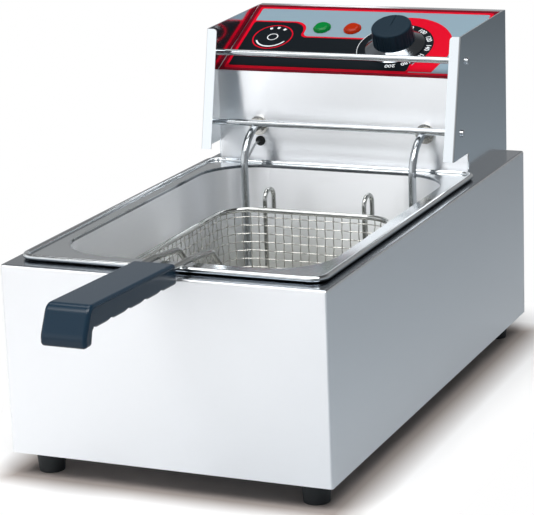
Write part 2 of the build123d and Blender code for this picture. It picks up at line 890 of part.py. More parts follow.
with BuildPart() as element_nuts:
    with BuildSketch(Plane.XZ.offset(-head_front - head_sheet)):
        with Locations(*element_places):
            RegularPolygon(element_nut_flats / 2, 6, major_radius=False)
            Circle(boss_stem_radius + thread_clearance, mode=Mode.SUBTRACT)
    extrude(amount=-element_nut_height)
save(element_nuts, "element_nuts")

with BuildPart() as element_terminals:
    with BuildSketch(Plane.XZ.offset(-element_back)):
        with Locations(*element_places):
            Circle(terminal_diameter / 2)
    extrude(amount=-terminal_length)
save(element_terminals, "element_terminals")

# Thermostat bulb beside the element, two clips round both, and the capillary from the thermostat
bulb_x = -(element_inner_half_span + (element_diameter + bulb_diameter) / 2 + bulb_element_gap)
bulb_front = front + bulb_start
bulb_rear = bulb_front + bulb_length
with BuildPart() as thermostat_bulb:
    with BuildSketch(Plane.XZ.offset(-bulb_front)):
        with Locations((bulb_x, element_z)):
            Circle(bulb_diameter / 2)
    extrude(amount=-bulb_length)
save(thermostat_bulb, "thermostat_bulb")

clip_height = element_diameter + 2 * clip_clearance
clip_span = -element_inner_half_span - bulb_x
clip_centre = ((bulb_x - element_inner_half_span) / 2, element_z)
with BuildPart() as bulb_clips:
    for clip_y in (bulb_front + clip_inset, bulb_rear - clip_inset):
        with BuildSketch(Plane.XZ.offset(-clip_y)):
            with Locations(clip_centre):
                SlotCenterToCenter(clip_span, clip_height + 2 * clip_sheet)
                SlotCenterToCenter(clip_span, clip_height, mode=Mode.SUBTRACT)
        extrude(amount=clip_width / 2, both=True)
save(bulb_clips, "bulb_clips")

thermostat_depth_below = head_sheet + bracket_sheet + thermostat_height / 2
capillary_start = on_slope(knob_x - thermostat_width / 2, knob_up_slope, -thermostat_depth_below)
capillary_inner_x = capillary_inner_inset - element_half_span
capillary_leg_x = -element_half_span - capillary_leg_offset
capillary_back = element_drop_y + capillary_leg_gap
capillary_turn = head_front - capillary_turn_gap
grommet_z = deck + capillary_rise
with BuildPart() as capillary_tube:
    with BuildLine() as capillary_line:
        FilletPolyline(
            capillary_start,
            (capillary_inner_x, capillary_start.Y, capillary_start.Z),
            (capillary_inner_x, capillary_start.Y, grommet_z),
            (capillary_x, head_front + capillary_inner_gap, grommet_z),
            (capillary_x, capillary_turn, grommet_z),
            (capillary_leg_x, capillary_back, grommet_z - capillary_drop),
            (capillary_leg_x, capillary_back, element_z),
            (bulb_x, capillary_back, element_z),
            (bulb_x, bulb_rear, element_z),
            radius=capillary_bend,
        )
    with BuildSketch(Plane(origin=capillary_line.line @ 0, z_dir=capillary_line.line % 0)):
        Circle(capillary_diameter / 2)
    sweep()
save(capillary_tube, "capillary_tube")

with BuildPart() as capillary_grommet:
    with BuildSketch(Plane.XZ.offset(grommet_flange - head_front)):
        with Locations(grommet_place):
            Circle(grommet_flange_radius)
    extrude(amount=-grommet_flange)
    with BuildSketch(Plane.XZ.offset(-head_front)):
        with Locations(grommet_place):
            Circle(grommet_radius - thread_clearance)
    extrude(amount=-(head_sheet + grommet_flange))
    with BuildSketch(Plane.XZ.offset(grommet_flange - head_front)):
        with Locations(grommet_place):
            Circle(capillary_diameter / 2 + thread_clearance)
    extrude(amount=-(head_sheet + 2 * grommet_flange), mode=Mode.SUBTRACT)
save(capillary_grommet, "capillary_grommet")

# Terminal block on the head's floor, with the leads that run to it
block_y = rear - block_rear_gap
block_top = head_floor + block_height
with BuildPart() as terminal_block:
    with BuildSketch(Plane.XY.offset(head_floor)):
        with Locations((0, block_y)):
            Rectangle(block_width, block_depth)
    extrude(amount=block_height)
    with BuildSketch(Plane.XY.offset(block_top)):
        with Locations((0, block_y)):
            with GridLocations(block_pitch, 0, block_ways - 1, 1):
                Rectangle(block_groove, block_depth)
    extrude(amount=-block_height / 2, mode=Mode.SUBTRACT)
save(terminal_block, "terminal_block")

ways = [block_pitch * (way - (block_ways - 1) / 2) for way in range(block_ways)]
lead_start = element_back + terminal_length
lamp_back = overlay_thickness - lamp_body_length
thermostat_back = -(head_sheet + bracket_sheet + thermostat_height)
lead_routes = [
    [
        (side * element_half_span, lead_start, fitting_z),
        (side * element_half_span, block_y, fitting_z),
        (way, block_y, fitting_z),
        (way, block_y, block_top),
    ]
    for side, way in ((-1, ways[0]), (1, ways[-1]))
]
for place_x, place_up, back, way in (
    (lamp_green_x, lamp_up_slope, lamp_back, ways[1]),
    (lamp_orange_x, lamp_up_slope, lamp_back, ways[2]),
    (knob_x, knob_up_slope, thermostat_back, ways[3]),
):
    lead_routes.append(
        [
            on_slope(place_x, place_up, back),
            on_slope(place_x, place_up, back - wire_straight),
            (way, block_y, deck + wire_turn_rise),
            (way, block_y, block_top),
        ]
    )
with BuildPart() as internal_wiring:
    for route in lead_routes:
        with BuildLine() as lead_line:
            FilletPolyline(*route, radius=wire_bend)
        with BuildSketch(Plane(origin=lead_line.line @ 0, z_dir=lead_line.line % 0)):
            Circle(wire_diameter / 2)
        sweep()
save(internal_wiring, "internal_wiring")

with BuildPart() as earth_stud:
    with BuildSketch(Plane.XY.offset(head_floor)):
        with Locations((earth_x, earth_y)):
            Circle(earth_screw_head / 2)
    extrude(amount=earth_screw_head_height)
    with BuildSketch(Plane.XY.offset(head_floor)):
        with Locations((earth_x, earth_y)):
            Circle(earth_screw / 2)
    extrude(amount=-head_sheet)
save(earth_stud, "earth_screw")

# Cable gland on the rear cover, left open, with its locknut inside
with BuildPart() as cable_gland:
    with BuildSketch(Plane.XZ.offset(-rear)):
        with Locations(gland_place):
            RegularPolygon(gland_hex_flats / 2, 6, major_radius=False)
    extrude(amount=-gland_hex_height)
    with BuildSketch(Plane.XZ.offset(-rear - gland_hex_height)):
        with Locations(gland_place):
            Circle(gland_dome_radius)
    extrude(amount=-(gland_reach - gland_hex_height))
    fillet(cable_gland.faces().sort_by(Axis.Y)[-1].edges(), gland_dome_fillet)
    with BuildSketch(Plane.XZ.offset(-rear)):
        with Locations(gland_place):
            Circle(gland_sleeve_radius)
    extrude(amount=gland_inner_length)
    with BuildSketch(Plane.XZ.offset(gland_inner_length - rear)):
        with Locations(gland_place):
            Circle(gland_bore / 2)
    extrude(amount=-(gland_inner_length + gland_reach), mode=Mode.SUBTRACT)
save(cable_gland, "cable_gland")

with BuildPart() as gland_locknut:
    with BuildSketch(Plane.XZ.offset(-cover_front)):
        with Locations(gland_place):
            RegularPolygon(gland_hex_flats / 2, 6, major_radius=False)
            Circle(gland_sleeve_radius + thread_clearance, mode=Mode.SUBTRACT)
    extrude(amount=gland_nut_height)
save(gland_locknut, "gland_locknut")

# Basket: a thin open pan with a plain grid of openings for its mesh, hung on a rim wire
basket_rear = opening_rear - basket_rear_gap
basket_front = basket_rear - basket_length
basket_y = (basket_front + basket_rear) / 2
rim_z = deck - basket_rim_drop
mesh_top = rim_z - rim_wire / 2 - seat_gap
mesh_bottom = element_z + element_diameter / 2 + basket_rest_gap
basket_outside = tapered_pan(
    basket_width,
    basket_length,
    basket_corner,
    basket_y,
    mesh_top,
    mesh_bottom,
    basket_taper,
    basket_floor_fillet + basket_wall,
)
basket_inside = tapered_pan(
    basket_width - 2 * basket_wall,
    basket_length - 2 * basket_wall,
    basket_corner - basket_wall,
    basket_y,
    mesh_top,
    mesh_bottom + basket_wall,
    basket_taper,
    basket_floor_fillet,
)
wall_low = mesh_bottom + basket_floor_fillet + basket_wall
wall_high = mesh_top - mesh_rib
wall_z = (wall_low + wall_high) / 2
row_pitch = (wall_high - wall_low) / mesh_rows
core_width = basket_width - 2 * basket_corner
core_length = basket_length - 2 * basket_corner
column_pitch = core_width / mesh_columns
side_pitch = core_length / mesh_side_columns
corner_step = 90 / mesh_corner_columns
corner_pitch = 2 * (basket_corner - basket_wall) * sin(radians(corner_step / 2))
corner_planes = [
    Plane(
        origin=(side_x * core_width / 2, basket_y + side_y * core_length / 2, wall_z),
        x_dir=(-side_y * sin(angle), side_y * side_x * cos(angle), 0),
        z_dir=(side_x * cos(angle), side_y * sin(angle), 0),
    )
    for side_x in (-1, 1)
    for side_y in (-1, 1)
    for angle in [radians(corner_step * (column + 0.5)) for column in range(mesh_corner_columns)]
]
with BuildPart() as basket_mesh:
    add(basket_outside)
    add(basket_inside, mode=Mode.SUBTRACT)
    with BuildSketch(Plane.XZ.offset(-basket_y)):
        with Locations((0, wall_z)):
            with GridLocations(column_pitch, row_pitch, mesh_columns, mesh_rows):
                Rectangle(column_pitch - mesh_rib, row_pitch - mesh_rib)
    extrude(amount=basket_length, both=True, mode=Mode.SUBTRACT)
    with BuildSketch(Plane.YZ):
        with Locations((basket_y, wall_z)):
            with GridLocations(side_pitch, row_pitch, mesh_side_columns, mesh_rows):
                Rectangle(side_pitch - mesh_rib, row_pitch - mesh_rib)
    extrude(amount=basket_width, both=True, mode=Mode.SUBTRACT)
    with BuildSketch(*corner_planes):
        with GridLocations(0, row_pitch, 1, mesh_rows):
            Rectangle(corner_pitch - mesh_rib, row_pitch - mesh_rib)
    extrude(amount=basket_corner, mode=Mode.SUBTRACT)
    with BuildSketch(Plane.XY.offset(mesh_bottom)):
        with Locations((0, basket_y)):
            with GridLocations(column_pitch, side_pitch, mesh_columns, mesh_side_columns):
                Rectangle(column_pitch - mesh_rib, side_pitch - mesh_rib)
    extrude(amount=basket_wall, mode=Mode.SUBTRACT)
save(basket_mesh, "basket_mesh")

rim_x = (basket_width - basket_wall) / 2
rim_ends = (basket_front + basket_wall / 2, basket_rear - basket_wall / 2)
rim_corners = [(-rim_x, rim_ends[0]), (rim_x, rim_ends[0]), (rim_x, rim_ends[1]), (-rim_x, rim_ends[1])]
with BuildPart() as basket_rim:
    with BuildLine() as rim_line:
        FilletPolyline(
            *[(x, y, rim_z) for x, y in rim_corners],
            radius=basket_corner - basket_wall / 2,
            close=True,
        )
    with BuildSketch(Plane(origin=rim_line.line @ 0, z_dir=rim_line.line % 0)):
        Circle(rim_wire / 2)
    sweep()
save(basket_rim, "basket_rim")

# Drain hooks behind the basket, which hang on a rod
hook_front = rim_ends[1] + (rim_wire + hook_wire) / 2 + seat_gap
hook_rear = hook_front + hook_gap
hook_top = rim_z + hook_rise
with BuildPart() as basket_hooks:
    with BuildLine() as hook_line:
        FilletPolyline(
            (hook_x, hook_front, rim_z - hook_leg),
            (hook_x, hook_front, hook_top),
            (hook_x, hook_rear, hook_top),
            (hook_x, hook_rear, rim_z - hook_tip_drop),
            radius=hook_bend,
        )
    with BuildSketch(Plane(origin=hook_line.line @ 0, z_dir=hook_line.line % 0)):
        Circle(hook_wire / 2)
    sweep()
    mirror(about=Plane.YZ)
save(basket_hooks, "basket_hooks")

# Handle wires: from the grip over the tank's bead, up to a peak and down the basket's front
leg_y = rim_ends[0] - (rim_wire + handle_wire) / 2 - seat_gap
over_bead = bead_top + handle_rest_gap + handle_wire / 2
wire_start = (handle_wire_x, front - handle_wire_seat, over_bead + handle_wire_rise)
wire_route = [
    wire_start,
    (handle_wire_x, bead_front + handle_knee_back, over_bead),
    (handle_wire_x, leg_y - handle_peak_gap, over_bead - handle_peak_drop),
    (handle_wire_x, leg_y, over_bead - handle_leg_top),
    (handle_wire_x, leg_y, rim_z - handle_leg),
]
with BuildPart() as handle_wires:
    with BuildLine() as wire_line:
        FilletPolyline(*wire_route, radius=handle_wire_bend)
    with BuildSketch(Plane(origin=wire_line.line @ 0, z_dir=wire_line.line % 0)):
        Circle(handle_wire / 2)
    sweep()
    mirror(about=Plane.YZ)
save(handle_wires, "handle_wires")

# Grip: a moulded handle, bored for the two wires, with a lip at its end and rounded lobes below.
# Each lobe is an arc that meets the next one in a notch and leaves a short flat land at its bottom
grip_rear = front - grip_gap
grip_tip = grip_rear - grip_length
underside_front = Vector(0, grip_tip + grip_lip_back, deck + grip_front_bottom)
underside_rear = Vector(0, grip_rear, deck + grip_rear_bottom)
underside = Plane(underside_front, x_dir=underside_rear - underside_front, z_dir=(1, 0, 0))
lobe_rise = finger_notch / 2 + (finger_pitch**2 - finger_land**2) / (8 * finger_notch)
lobe_radius = hypot(lobe_rise, finger_land / 2)
lobes = [((lobe + 0.5) * finger_pitch, lobe_rise) for lobe in range(finger_count)]
wire_direction = Vector(*wire_route[1]) - Vector(*wire_route[0])
with BuildPart() as wire_bores:
    with BuildSketch(Plane(origin=wire_start, z_dir=wire_direction)):
        Circle(handle_wire / 2 + thread_clearance)
    extrude(amount=handle_wire_seat)
    mirror(about=Plane.YZ)

with BuildPart() as handle_grip:
    with BuildSketch(Plane.YZ):
        with BuildLine():
            FilletPolyline(
                (underside_rear.Y, underside_rear.Z),
                (grip_rear, deck + grip_rear_top),
                (grip_tip + grip_nose, deck + grip_front_top),
                (grip_tip, deck + grip_lip_bottom + grip_lip_face),
                (grip_tip, deck + grip_lip_bottom),
                (grip_tip + grip_lip, deck + grip_lip_bottom),
                (underside_front.Y, underside_front.Z),
                radius=[
                    grip_edge,
                    grip_edge,
                    grip_top_round,
                    grip_nose_round,
                    grip_edge,
                    grip_edge,
                    grip_edge,
                ],
                close=True,
            )
        make_face()
    extrude(amount=grip_width / 2, both=True)
    fillet(handle_grip.faces().filter_by(Axis.X).edges(), grip_edge)
    with BuildSketch(underside):
        Rectangle(lobes[-1][0], 3 * finger_notch, align=(Align.MIN, Align.CENTER))
        with Locations(*lobes):
            Circle(lobe_radius, mode=Mode.SUBTRACT)
    extrude(amount=grip_width, both=True, mode=Mode.SUBTRACT)
    add(wire_bores.part, mode=Mode.SUBTRACT)
save(handle_grip, "handle_grip")
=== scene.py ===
# %% [markdown]
# A countertop deep fryer
#
# The CAD frame brings every solid in its place, in metres: X to the right, Y from the handle to the
# rear, Z up from the table. This script gives the solids their finishes, weaves the basket, prints the
# control panel and sets a plain studio round the object.

import math

import bmesh
import bpy
from mathutils import Matrix, Vector


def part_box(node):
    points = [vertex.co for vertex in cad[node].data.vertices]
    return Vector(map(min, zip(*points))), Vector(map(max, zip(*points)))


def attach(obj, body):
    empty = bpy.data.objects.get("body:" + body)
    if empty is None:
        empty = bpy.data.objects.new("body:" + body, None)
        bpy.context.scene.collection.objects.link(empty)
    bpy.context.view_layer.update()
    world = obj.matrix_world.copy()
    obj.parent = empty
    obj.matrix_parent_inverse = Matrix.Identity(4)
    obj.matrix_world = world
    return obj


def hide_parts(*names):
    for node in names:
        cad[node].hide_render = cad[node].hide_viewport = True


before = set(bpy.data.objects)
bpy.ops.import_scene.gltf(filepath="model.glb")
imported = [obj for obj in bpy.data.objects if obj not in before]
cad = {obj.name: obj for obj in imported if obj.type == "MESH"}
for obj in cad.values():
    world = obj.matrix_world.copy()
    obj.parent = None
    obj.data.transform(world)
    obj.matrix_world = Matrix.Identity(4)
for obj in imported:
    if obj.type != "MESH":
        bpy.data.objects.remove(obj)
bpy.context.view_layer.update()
MM = 0.001

# %% [markdown]
# Shader tools
#
# Colours are written as sRGB hex codes, the way a paint chart gives them, and turned into the linear
# values that shaders take. One small function adds every node: a plain value is set on a socket, and a
# (node, output) pair is linked to it. Only sockets that are switched on are looked at, since the Mix
# node keeps several hidden ones with the same name.


# %% Colour and node helpers
def linear(hex_code):
    """The linear RGBA colour of an sRGB hex code."""
    channels = [int(hex_code[i : i + 2], 16) / 255 for i in (0, 2, 4)]
    return tuple(c / 12.92 if c <= 0.04045 else ((c + 0.055) / 1.055) ** 2.4 for c in channels) + (1.0,)


def add_node(tree, kind, inputs=(), **settings):
    """Add one shader node, set its properties, and set or link its inputs."""
    made = tree.nodes.new(kind)
    for key, value in settings.items():
        setattr(made, key, value)
    for socket, value in dict(inputs).items():
        target = next(s for k, s in enumerate(made.inputs) if s.enabled and socket in (k, s.name))
        if isinstance(value, tuple) and isinstance(value[0], bpy.types.Node):
            node, output = value
            source = next(s for k, s in enumerate(node.outputs) if s.enabled and output in (k, s.name))
            tree.links.new(source, target)
        else:
            target.default_value = value
    return made


print("linear mid grey:", round(linear("808080")[0], 3))

# %% [markdown]
# How a finish is built
#
# No real surface is one flat colour: sheet has grinding lines, moulded plastic a fine spark texture,
# film a faint ripple. So every finish here has a grain. Noise with a size in millimetres moves the
# roughness between two values and lifts a very shallow bump. Level grinding lines also spread a
# highlight up and down, which is what makes brushed steel look pale over its whole height. The shader's
# anisotropy does that, with the tangent laid level round the upright axis and turned a quarter.


# %% A finish with its grain
GRAIN_DETAIL, BUMP_STRENGTH, QUARTER_TURN = 3.0, 0.2, 0.25


def drive(material, socket, node):
    """Link a node's first switched-on output to a socket of the material's shader."""
    output = next(s for s in node.outputs if s.enabled)
    material.node_tree.links.new(output, material.node_tree.nodes["Principled BSDF"].inputs[socket])


def finish(name, colour, grain, rough, depth, spread_up=0.0, **sockets):
    """A material: its colour, grain size (mm along X, Y, Z), roughness range and bump depth (mm)."""
    material = bpy.data.materials.new(name)
    material.use_nodes = True
    tree = material.node_tree
    shader = tree.nodes["Principled BSDF"]
    shader.inputs["Base Color"].default_value = linear(colour)
    shader.inputs["Anisotropic"].default_value = spread_up
    shader.inputs["Anisotropic Rotation"].default_value = QUARTER_TURN
    for socket, value in sockets.items():
        shader.inputs[socket.replace("_", " ")].default_value = value
    coords = add_node(tree, "ShaderNodeTexCoord")
    per_metre = tuple(1 / (size * MM) for size in grain)
    stretch = add_node(tree, "ShaderNodeMapping", {"Vector": (coords, "Object"), "Scale": per_metre})
    noise = add_node(
        tree, "ShaderNodeTexNoise", {"Vector": (stretch, "Vector"), "Scale": 1.0, "Detail": GRAIN_DETAIL}
    )
    vary = add_node(
        tree, "ShaderNodeMapRange", {"Value": (noise, "Fac"), "To Min": rough[0], "To Max": rough[1]}
    )
    relief = {"Height": (noise, "Fac"), "Strength": BUMP_STRENGTH, "Distance": depth * MM}
    drive(material, "Roughness", vary)
    drive(material, "Normal", add_node(tree, "ShaderNodeBump", relief))
    drive(material, "Tangent", add_node(tree, "ShaderNodeTangent", direction_type="RADIAL", axis="Z"))
    return material


print("grinding lines in a metre, at 0.4 mm each:", round(1 / (0.4 * MM)))

# %% [markdown]
# The metals
#
# Casing, head and tank are stainless sheet. Rolling and grinding leave level lines, a few centimetres
# long and about a tenth of a millimetre wide. A picture of brushed steel could be wrapped round each
# piece, but noise stretched along X and Y needs no picture and has no seam at a fold. The bars and
# wires are drawn and plated, with much shorter marks and a sharper mirror.

# %% Stainless sheet
# The real lines are too fine to show, so they are drawn four times as wide
SHEET_GRAIN = (25, 25, 0.4)
CASING_TONE, WALL_TONE = "E6E7E9", "F4F6F9"
# Soft pale sheen without a clear mirror image
casing_steel = finish(
    "satin stainless sheet", CASING_TONE, SHEET_GRAIN, (0.34, 0.4), 0.004, 0.75, Metallic=1.0
)
# Darker and clearer, so that the side plates mirror what stands next to them
head_steel = finish(
    "bright stainless sheet", "D0D5D9", SHEET_GRAIN, (0.12, 0.16), 0.002, 0.5, Metallic=1.0
)
# The palest sheet: a broad glow with a faint smear of the tubes in front of it
panel_steel = finish(
    "brushed stainless panel", "EDEFF2", SHEET_GRAIN, (0.28, 0.32), 0.002, 1.0, Metallic=1.0
)
# Pressing dulls the tank's walls, which shine like thick silk
tank_steel = finish("drawn satin stainless", WALL_TONE, (17, 17, 0.8), (0.4, 0.46), 0.004, 0.85)
print("sheet finishes:", [m.name for m in (casing_steel, head_steel, panel_steel, tank_steel)])

# %% [markdown]
# Two of these pieces change with height. The casing's top is the same sheet folded over, kept rubbed by
# the tank's rim, so the deck is clearer than the walls; its darker tone is painted shade, since it faces
# the ceiling, not the lights. The tank is one pressing. Its rim is buffed, so the flange and the bead
# draw thin dark and bright lines. Its tones by height are painted shade: a greyer deep part, a dark line
# for the shadow under the bead, and a darker flange and bead. Faces could be given two materials, but
# each piece is one mesh of loose triangles, so its shader reads the height instead.


# %% Finishes by height
def by_height(material, low, high, at_low, at_high):
    """A node whose value runs from at_low at one height to at_high at another."""
    tree = material.node_tree
    coords = add_node(tree, "ShaderNodeTexCoord")
    split = add_node(tree, "ShaderNodeSeparateXYZ", {"Vector": (coords, "Object")})
    return add_node(
        tree,
        "ShaderNodeMapRange",
        {"Value": (split, "Z"), "From Min": low, "From Max": high, "To Min": at_low, "To Max": at_high},
    )


def tones_by_height(material, stops):
    """Colour a material by height: stops are (height, hex code), from low to high."""
    low, high = stops[0][0], stops[-1][0]
    share = by_height(material, low, high, 0.0, 1.0)
    tone = add_node(material.node_tree, "ShaderNodeValToRGB", {"Fac": (share, "Result")})
    ramp = tone.color_ramp
    ramp.elements[0].color, ramp.elements[-1].color = linear(stops[0][1]), linear(stops[-1][1])
    for z, colour in stops[1:-1]:
        ramp.elements.new((z - low) / (high - low)).color = linear(colour)
    drive(material, "Base Color", tone)


def polish_above(material, z, blend, share):
    """Above a height the roughness falls to a share of itself and highlights stop spreading."""
    tree = material.node_tree
    sockets = tree.nodes["Principled BSDF"].inputs
    grain = sockets["Roughness"].links[0].from_node
    less = by_height(material, z, z + blend, 1.0, share)
    factors = {0: (grain, "Result"), 1: (less, "Result")}
    drive(material, "Roughness", add_node(tree, "ShaderNodeMath", factors, operation="MULTIPLY"))
    spread = sockets["Anisotropic"].default_value
    drive(material, "Anisotropic", by_height(material, z, z + blend, spread, 0.0))


COLLAR, SHEET = 2 * MM, 1 * MM
collar_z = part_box("casing_shell")[1].z
deck_z = collar_z - COLLAR
flange_z = collar_z + SHEET
print("deck, collar and flange at mm:", [round(z / MM, 1) for z in (deck_z, collar_z, flange_z)])

# %% The casing's deck
# The deck's darker tone is painted shade: the top of the fold faces the ceiling, not the lights
RUBBED, DECK_SHADE_TONE = 0.45, "9BA0A6"
FOLD, BLEND = 0.8 * MM, 0.6 * MM
fold_z = deck_z - FOLD
polish_above(casing_steel, fold_z, BLEND, RUBBED)
tones_by_height(casing_steel, [(fold_z, CASING_TONE), (fold_z + BLEND, DECK_SHADE_TONE)])
print("deck finish from mm:", round(fold_z / MM, 1))

# %% The tank's rim
BUFFED, DULL_METAL = 0.28, 0.85
DEEP, SHALLOW = 90 * MM, 35 * MM
# Painted shade by height: greyer deep in the tank, a dark line at the collar for the shadow under the
# bead,
# and a darker flange and bead that dim their mirror images
DEEP_SHADE_TONE, GAP_SHADOW_TONE, FLANGE_SHADE_TONE, BEAD_SHADE_TONE = "D2D3D0", "83898E", "C5CACD", "D0D3D5"
polish_above(tank_steel, deck_z, BLEND, BUFFED)
drive(tank_steel, "Metallic", by_height(tank_steel, deck_z, deck_z + BLEND, DULL_METAL, 1.0))
tank_tones_and_shade = [
    (deck_z - DEEP, DEEP_SHADE_TONE),
    (deck_z - SHALLOW, WALL_TONE),
    (deck_z, WALL_TONE),
    (deck_z + BLEND, GAP_SHADOW_TONE),
    (collar_z, GAP_SHADOW_TONE),
    (collar_z + BLEND, FLANGE_SHADE_TONE),
    (flange_z + BLEND, FLANGE_SHADE_TONE),
    (flange_z + 2 * BLEND, BEAD_SHADE_TONE),
]
tones_by_height(tank_steel, tank_tones_and_shade)
print("tank tones from mm:", [round(z / MM, 1) for z, colour in tank_tones_and_shade])

# %% Bars, wires and plated parts
# Drawing marks, drawn coarser than the real ones so that they show
DRAWN_GRAIN = (0.6, 0.6, 0.6)
# A clear mirror with a hard white line along the bar
polished = finish("polished bar", "ABAFB2", DRAWN_GRAIN, (0.06, 0.1), 0.001, Metallic=1.0)
# Small bright screw heads
plated = finish("plated fastener", "C9CCD0", DRAWN_GRAIN, (0.18, 0.26), 0.001, Metallic=1.0)
# Silver with a trace of warmth, bright where a thin wire bends over another
wire_steel = finish("plated basket wire", "C9C8C3", DRAWN_GRAIN, (0.1, 0.16), 0.001, Metallic=1.0)
# A sharper mirror with dark edges along each thick wire
bright_wire = finish("bright drawn wire", "AEB0AE", DRAWN_GRAIN, (0.05, 0.09), 0.001, Metallic=1.0)
# A greyer tube, softened by heat
sheath = finish("drawn element tube", "B2B7BB", DRAWN_GRAIN, (0.18, 0.26), 0.002, Metallic=1.0)
# Slightly yellow next to the steel
nickel = finish("nickel plated brass", "D2D0CB", DRAWN_GRAIN, (0.16, 0.24), 0.001, Metallic=1.0)
# A dull thin tube
capillary_steel = finish("drawn capillary tube", "A9ADB0", DRAWN_GRAIN, (0.24, 0.32), 0.001, Metallic=1.0)
# A dark mirror under the knob
skirt_chrome = finish("dark chrome", "8C9298", DRAWN_GRAIN, (0.1, 0.14), 0.001, Metallic=1.0)
print("bars, wires and plated parts:", polished.name, "to", skirt_chrome.name)

# %% [markdown]
# Plastics, rubber and print
#
# The grip and the knob are moulded in tools with a fine spark texture. Rubber is rougher. The printed
# film is smooth and gives almost no mirror image of its own, since its top coat is matt. Each could be
# one colour with one roughness, but then a wide face would look like painted card, so these get the
# same fine noise as the metals, as wide as it is long.

# %% Moulded finishes
# Spark texture, drawn about three times as coarse as the real one so that it shows
SPARK_GRAIN = (0.35, 0.35, 0.35)
# Blue black, with a soft grey sheen on top
grip_plastic = finish(
    "satin heat-proof plastic", "10293A", SPARK_GRAIN, (0.2, 0.28), 0.02, Specular_IOR_Level=0.3
)
# Near black, so that the knob stays darker than the band below it
knob_plastic = finish(
    "black moulded plastic", "1A2A35", SPARK_GRAIN, (0.3, 0.36), 0.01, Specular_IOR_Level=0.06
)
# Dead matt
rubber = finish("matt black rubber", "15181A", (0.8, 0.8, 0.8), (0.65, 0.8), 0.03)
# Ivory, inside the head
pale_plastic = finish("pale moulded plastic", "DAD9D2", SPARK_GRAIN, (0.46, 0.54), 0.01)
# Brown, inside the head
brown_plastic = finish("brown moulded phenolic", "3A2A20", SPARK_GRAIN, (0.46, 0.54), 0.01)
# A dull red sleeve
lead_red = finish("red silicone sleeve", "A02018", SPARK_GRAIN, (0.46, 0.54), 0.01)
# A black gland with a slight sheen
black_nylon = finish("black nylon", "18191B", SPARK_GRAIN, (0.4, 0.5), 0.01)
# Deep clear colours without lamps behind them
LENS = {"grain": SPARK_GRAIN, "rough": (0.08, 0.12), "depth": 0.001, "Specular_IOR_Level": 0.2}
green_lens = finish("green tinted lens", "007430", **LENS)
orange_lens = finish("orange tinted lens", "A02608", **LENS)
print("moulded finishes:", grip_plastic.name, "to", orange_lens.name)

# %% Printed film
FILM = {"grain": (1.2, 1.2, 1.2), "rough": (0.32, 0.38), "depth": 0.002, "Specular_IOR_Level": 0.03}
# Even, saturated ink, the same from every side
print_red = finish("red printed film", "C80322", **FILM)
# A shaded edge round the red
print_dark = finish("dark red printed film", "690A1B", **FILM)
# A deep black with hardly any shine
print_black = finish("black printed film", "10161B", **FILM)
# A cool grey that stands for metal ink
print_grey = finish("silver grey film", "8095A1", **FILM)
# Off-white marks that read clearly on black
print_white = finish("white printed film", "DBDFE2", **FILM)
print("inks:", [m.name for m in (print_red, print_dark, print_black, print_grey, print_white)])

# %% [markdown]
# Dressing the solids
#
# Each real piece is made of one material, so each solid takes one finish. A finish could be chosen by a
# word in the piece's name, but a plain list says at a glance what every piece is made of.

# %% Give each solid its finish
finishes = {
    casing_steel: ["casing_shell", "base_plate"],
    head_steel: ["head_base", "head_side_right", "head_side_left", "head_rear_cover"],
    panel_steel: ["head_front_panel"],
    tank_steel: ["oil_tank", "bulb_clips"],
    polished: ["rod_upper", "rod_lower"],
    plated: [
        "foot_screws",
        "foot_nuts",
        "locating_bushes",
        "head_pins",
        "rear_cover_screws",
        "rod_screws",
        "thermostat_screws",
        "thermostat_shaft",
        "earth_screw",
    ],
    bright_wire: ["basket_rim", "basket_hooks", "handle_wires"],
    sheath: ["heating_element"],
    nickel: ["element_bosses", "element_nuts", "element_terminals"],
    capillary_steel: ["thermostat_bulb", "capillary_tube"],
    skirt_chrome: ["knob_skirt"],
    grip_plastic: ["handle_grip"],
    knob_plastic: ["knob"],
    rubber: ["rubber_feet", "capillary_grommet"],
    pale_plastic: ["lamp_bodies", "lamp_nuts", "terminal_block"],
    brown_plastic: ["thermostat_body"],
    lead_red: ["internal_wiring"],
    black_nylon: ["cable_gland", "gland_locknut"],
    green_lens: ["green_lamp_lens"],
    orange_lens: ["orange_lamp_lens"],
    print_dark: ["control_overlay"],
}
for material, names in finishes.items():
    for name in names:
        cad[name].data.materials.clear()
        cad[name].data.materials.append(material)
print("finishes:", len(finishes), "solids dressed:", sum(len(names) for names in finishes.values()))

# %% [markdown]
# The woven basket
#
# The solid stands for the mesh with a grid of flat bars. The real wall is woven wire: rings that run
# round the basket and wires that run down the wall. Each wire steps over one neighbour and under the
# next. A wire could be swept as a mesh, but a curve object with a round bevel says the same with one
# control point at each crossing. Such a smooth curve keeps half of the step between its points, so the
# step is set at twice the wire's own radius.


# %% Curve and piece helpers
def piece(name, mesh_or_curve, material, body):
    """A new object of the scene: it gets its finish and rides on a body."""
    made = bpy.data.objects.new(name, mesh_or_curve)
    bpy.context.scene.collection.objects.link(made)
    made.data.materials.append(material)
    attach(made, body)
    return made


def wire_curve(name, routes, radius, closed=False):
    """One curve object's data with a round wire along each route of points."""
    curve = bpy.data.curves.new(name, "CURVE")
    curve.dimensions = "3D"
    curve.bevel_depth = radius
    curve.bevel_resolution = 1
    curve.use_fill_caps = True
    for route in routes:
        spline = curve.splines.new("NURBS")
        spline.points.add(len(route) - 1)
        for point, place in zip(spline.points, route):
            point.co = (*place, 1.0)
        spline.order_u = 3
        spline.use_endpoint_u = not closed
        spline.use_cyclic_u = closed
        spline.resolution_u = 2
    return curve


sample = wire_curve("sample wire", [[(0, 0, 0), (0, 0, 1)]], MM)
print("a sample wire has points:", len(sample.splines[0].points))
bpy.data.curves.remove(sample)

# %% Sizes of the basket's wall
mesh_low, mesh_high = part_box("basket_mesh")
